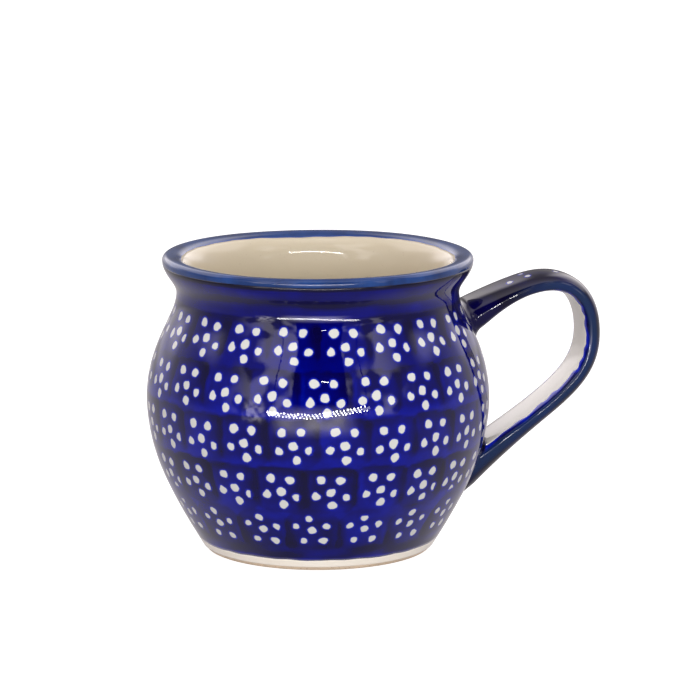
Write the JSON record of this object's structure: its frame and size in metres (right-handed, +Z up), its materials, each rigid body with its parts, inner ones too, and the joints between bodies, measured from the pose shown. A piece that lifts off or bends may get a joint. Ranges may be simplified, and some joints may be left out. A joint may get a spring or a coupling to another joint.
{
  "type": "mug",
  "caption": "Round-bellied stoneware drinking mug with a flared lip, a looped strap handle, a turned foot ring, cobalt outer glaze and a cream liner",
  "frame": {"origin": "centre of the foot ring's resting plane", "axes": "+Z up, along the cup's axis; +X towards the handle, which lies in the XZ plane; +Y to the left of the handle"},
  "size_m": [0.1258, 0.093, 0.0804],
  "materials": {
    "bare_stoneware": "unglazed fired stoneware, matt",
    "handle_stoneware": "fired stoneware under the glaze",
    "cobalt_glaze": "glossy, hand-stamped with cream dots",
    "rim_wash": "glossy grey-blue wash over the lip",
    "cream_glaze": "glossy, faintly speckled",
    "clear_glaze": "glossy clear coat over the clay",
    "handle_cobalt_glaze": "glossy, breaking to steel blue on the edges"
  },
  "bodies": {
    "root": {"stoneware_body": "bare_stoneware", "handle_strap": "handle_stoneware", "upper_root": "handle_stoneware", "lower_root": "handle_stoneware", "cobalt_glaze": "cobalt_glaze", "rim_glaze": "rim_wash", "liner_glaze": "cream_glaze", "foot_glaze": "clear_glaze", "underside_glaze": "clear_glaze", "handle_cobalt_glaze": "handle_cobalt_glaze", "handle_liner_glaze": "cream_glaze"}
  },
  "joints": []
}
